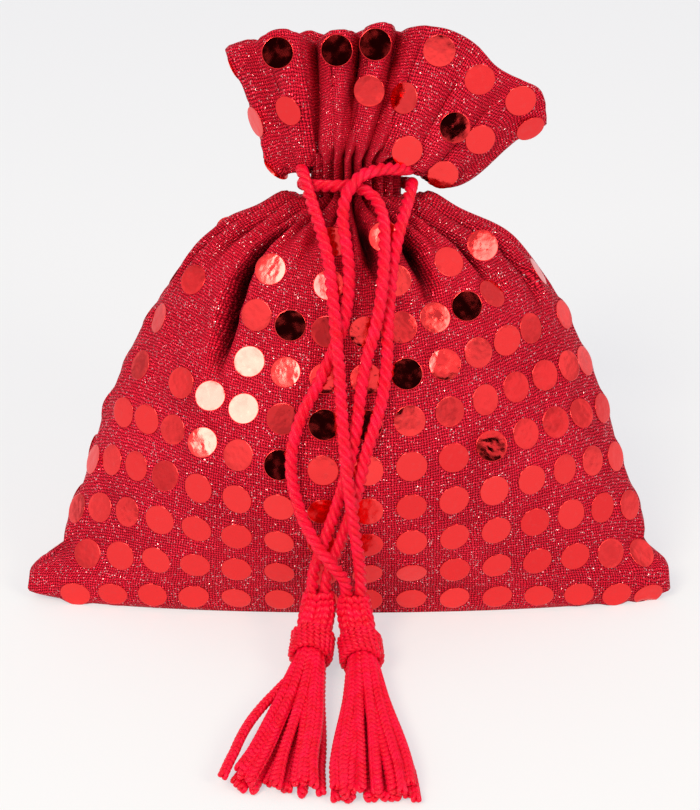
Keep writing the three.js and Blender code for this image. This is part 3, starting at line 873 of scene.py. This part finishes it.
def seat_cloth(grid, dots):
    """The cloth lies flat behind each stiff dot."""
    grid = grid.copy()
    for centre, normal, i, j in dots:
        on_frill = i >= BASE_ROWS + BODY_ROWS
        reach, side = (1.5, 10) if on_frill else (1.0, 9)
        rows = slice(max(0, i - 10), min(len(grid), i + 11))
        cols = np.arange(j - side, j + side + 1) % COLUMNS
        window = grid[rows][:, cols]
        gap = window - centre
        high = gap @ normal
        wide = np.linalg.norm(gap - high[..., None] * normal, axis=-1)
        weight = 1 - step_in(wide, DOT_RADIUS, DOT_RADIUS * 1.5)
        below = (0.5, 1.2) if on_frill else (1.3, 2.2)
        weight *= np.where(high > 0, 1 - step_in(high, 1.3 * reach, 2.2 * reach),
                           1 - step_in(-high, *below))
        grid[rows.start:rows.stop, cols] = window - (high * weight)[..., None] * normal
    return grid


def clear_dots(grid, dots):
    """Lifts each dot onto the cloth below it, and leaves out those that a fold runs through."""
    cloth = grid[BASE_ROWS:].reshape(-1, 3)
    kept = []
    for centre, normal, i, j in dots:
        gap = cloth - centre
        high = gap @ normal
        wide = np.linalg.norm(gap - high[:, None] * normal, axis=1)
        top = high[(wide < DOT_RADIUS) & (np.abs(high) < 2.5)].max(initial=0.0)
        near = cloth[(wide < DOT_RADIUS * 1.4) & (np.abs(high) < 2.5)]
        side = unit(np.cross(normal, (0.3, 0.5, 0.8)))
        turn = np.arange(8)[:, None] * np.pi / 4
        edge = centre + 0.8 * DOT_RADIUS * (np.cos(turn) * side + np.sin(turn) * np.cross(normal, side))
        held = (np.linalg.norm(edge[:, None] - near[None], axis=2).min(1, initial=9.0) < 1.3).sum()
        if top < DOT_LIFT and held >= 7:
            kept.append((centre + normal * top, normal, i, j))
    return kept


def dot_mesh(dots):
    turn = 2 * np.pi * np.arange(DOT_SIDES) / DOT_SIDES
    ring = np.stack([np.cos(turn), np.sin(turn)], 1)
    rings = [(0.5, 1.0), (0.96, 1.0), (1.0, 0.7), (1.0, 0.0)]
    last = len(rings) - 1
    parts, tone_and_fold_shade = [], []
    faces = []
    n = DOT_SIDES
    for j in range(n):
        k = (j + 1) % n
        faces.append([0, 1 + j, 1 + k])
        for r in range(last):
            faces.append([1 + r * n + j, 1 + (r + 1) * n + j, 1 + (r + 1) * n + k, 1 + r * n + k])
    faces.append([1 + last * n + j for j in range(n)][::-1])
    for centre, normal, _, _ in dots:
        spin = draw.uniform(0, 2 * np.pi)
        side = unit(np.cross(normal, (0.0, 0.0, 1.0) if abs(normal[2]) < 0.9 else (1.0, 0, 0)))
        side = math.cos(spin) * side + math.sin(spin) * np.cross(normal, side)
        up = np.cross(normal, side)
        radius = DOT_RADIUS * draw.uniform(0.98, 1.02)
        flat = np.vstack([[(0, 0)]] + [ring * share * radius for share, _ in rings])
        lift = np.concatenate([[1.0]] + [np.full(n, h) for _, h in rings]) * DOT_THICK + DOT_GLUE
        lift = lift + draw.uniform(0.0, DOT_BEND) * flat[:, 0] ** 2
        points = centre + flat[:, :1] * side + flat[:, 1:] * up + lift[:, None] * normal
        points[:, 2] = np.maximum(points[:, 2], FLOOR_GAP)
        start = draw.uniform(0, 500, 2)
        uv = np.array([flat[k] + start for f in faces for k in f])
        parts.append((points, faces, uv))
        tone_and_fold_shade += [draw.uniform()] * len(points)
    points, faces, uv = join(parts)
    return points, faces, uv, tone_and_fold_shade


def pouch():
    grid, v, fold = cloth_grid()
    dots = lean_dots(find_dots(grid, v, fold))
    dots = clear_dots(seat_cloth(grid, dots), dots)
    grid = seat_cloth(grid, dots)
    dots = clear_dots(grid, dots)  # the second seating may have moved the cloth
    grid[..., 2] = np.maximum(grid[..., 2], FLOOR_GAP)
    grid, v = add_hem(grid, v)
    rows = len(grid)
    faces = grid_faces(rows, COLUMNS)
    across = np.append(U, GIRTH / 2)[None].repeat(rows, 0)
    uv = grid_uv(across, np.concatenate([v, v[:, :1]], 1))
    # painted shade: how deep each fold lies, from 0 to 1, darkens the cloth's colour there
    depth = np.zeros((rows, COLUMNS))
    depth[:len(fold)] = np.clip((fold - FOLD_SHADE_DEPTHS[0]) / (FOLD_SHADE_DEPTHS[1] - FOLD_SHADE_DEPTHS[0]), 0, 1)
    cloth = add_piece("pouch_cloth", grid.reshape(-1, 3), faces, CLOTH, uv,
                      depth.ravel().tolist())
    points, dot_faces, dot_uv, tone_and_fold_shade = dot_mesh(dots)
    film = add_piece("pouch_dots", points, dot_faces, FILM, dot_uv, tone_and_fold_shade)
    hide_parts("pouch")


# Floor and light


def add_floor():
    n = Nodes("floor")
    place = n.add("NewGeometry").outputs[0]
    colour = n.mix(n.noise(place, 2.5, 3.0), rgba(0.84, 0.83, 0.86), rgba(0.88, 0.875, 0.895))
    shader = n.add("BsdfPrincipled", None, Base_Color=colour, Roughness=0.8)
    shader.inputs["Specular IOR Level"].default_value = 0.1
    path = n.add("LightPath").outputs
    seen = n.math("MAXIMUM", path["Is Camera Ray"], path["Is Glossy Ray"])
    seen = n.math("MAXIMUM", seen, path["Is Transmission Ray"])
    glow = n.add("Emission", None, Color=rgba(0.955, 0.965, 1.0), Strength=1.0)
    shader = n.add("MixShader", None, i0=n.math("MULTIPLY", seen, 0.55), i1=shader.outputs[0],
                   i2=glow.outputs[0])
    size = 30.0
    mesh = bpy.data.meshes.new("floor")
    mesh.from_pydata([(-size, -size, 0), (size, -size, 0), (size, size, 0), (-size, size, 0)], [],
                     [(0, 1, 2, 3)])
    mesh.materials.append(n.finish(shader))
    floor = bpy.data.objects.new("floor", mesh)
    scene.collection.objects.link(floor)


def add_lamp(name, at, watts, size):
    data = bpy.data.lights.new(name, "AREA")
    data.energy = watts
    data.shape = "DISK"
    data.size = size
    data.color = LAMP_COLOUR
    lamp = bpy.data.objects.new(name, data)
    lamp.location = at * MM
    aim = np.array([0.0, -10.0, 50.0]) - at
    flat = math.hypot(aim[0], aim[1])
    lamp.rotation_euler = (math.atan2(flat, -aim[2]), 0, math.atan2(aim[1], aim[0]) - math.pi / 2)
    scene.collection.objects.link(lamp)


def add_world():
    world = bpy.data.worlds.new("studio")
    scene.world = world
    world.use_nodes = True
    n = Nodes.__new__(Nodes)
    n.tree = world.node_tree
    n.tree.nodes.clear()
    way = n.add("TexCoord").outputs[0]
    near = n.add("VectorMath", {"operation": "DOT_PRODUCT"}, i0=way,
                 i1=tuple(DARK_DIRECTION)).outputs[1]
    edge = math.cos(math.radians(DARK_RADIUS + 1))
    dark = n.ramp(near, edge, math.cos(math.radians(DARK_RADIUS - 1)))
    height = n.add("SeparateXYZ", None, Vector=way).outputs[2]
    cloud = n.ramp(n.noise(way, 2.6, 2.0), 0.36, 0.60)
    cloud = n.math("MAXIMUM", cloud, n.ramp(height, 0.55, 0.95))
    sky = n.mix(cloud, rgba(0.50, 0.48, 0.52), rgba(1.05, 1.04, 1.05))
    room = n.mix(dark, sky, rgba(0.012, 0.01, 0.012))
    light = n.add("LightPath")
    shown = n.math("MAXIMUM", light.outputs["Is Glossy Ray"], light.outputs["Is Transmission Ray"])
    strength = n.ramp(shown, 0, 1, 0.74, 1.0)
    soft = n.add("Background", None, Color=room, Strength=strength)
    white = n.add("Background", None, Color=rgba(0.93, 0.925, 0.94), Strength=1.0)
    mixed = n.add("MixShader", None, i0=light.outputs["Is Camera Ray"], i1=soft.outputs[0],
                  i2=white.outputs[0])
    out = n.tree.nodes.new("ShaderNodeOutputWorld")
    n.tree.links.new(mixed.outputs[0], out.inputs[0])


scene.view_settings.view_transform = "Standard"
add_camera()
left_cord, left_line = cord("drawstring_left_rope", LEFT_ROUTE)
right_cord, right_line = cord("drawstring_right_rope", RIGHT_ROUTE)
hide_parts("drawstring_left")
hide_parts("drawstring_right")
left_tassel = tassel("left")
right_tassel = tassel("right")
pouch()
add_floor()
add_lamp("key", KEY_AT, KEY_WATTS, KEY_WIDTH)
add_lamp("fill", FILL_AT, FILL_WATTS, FILL_WIDTH)
add_world()
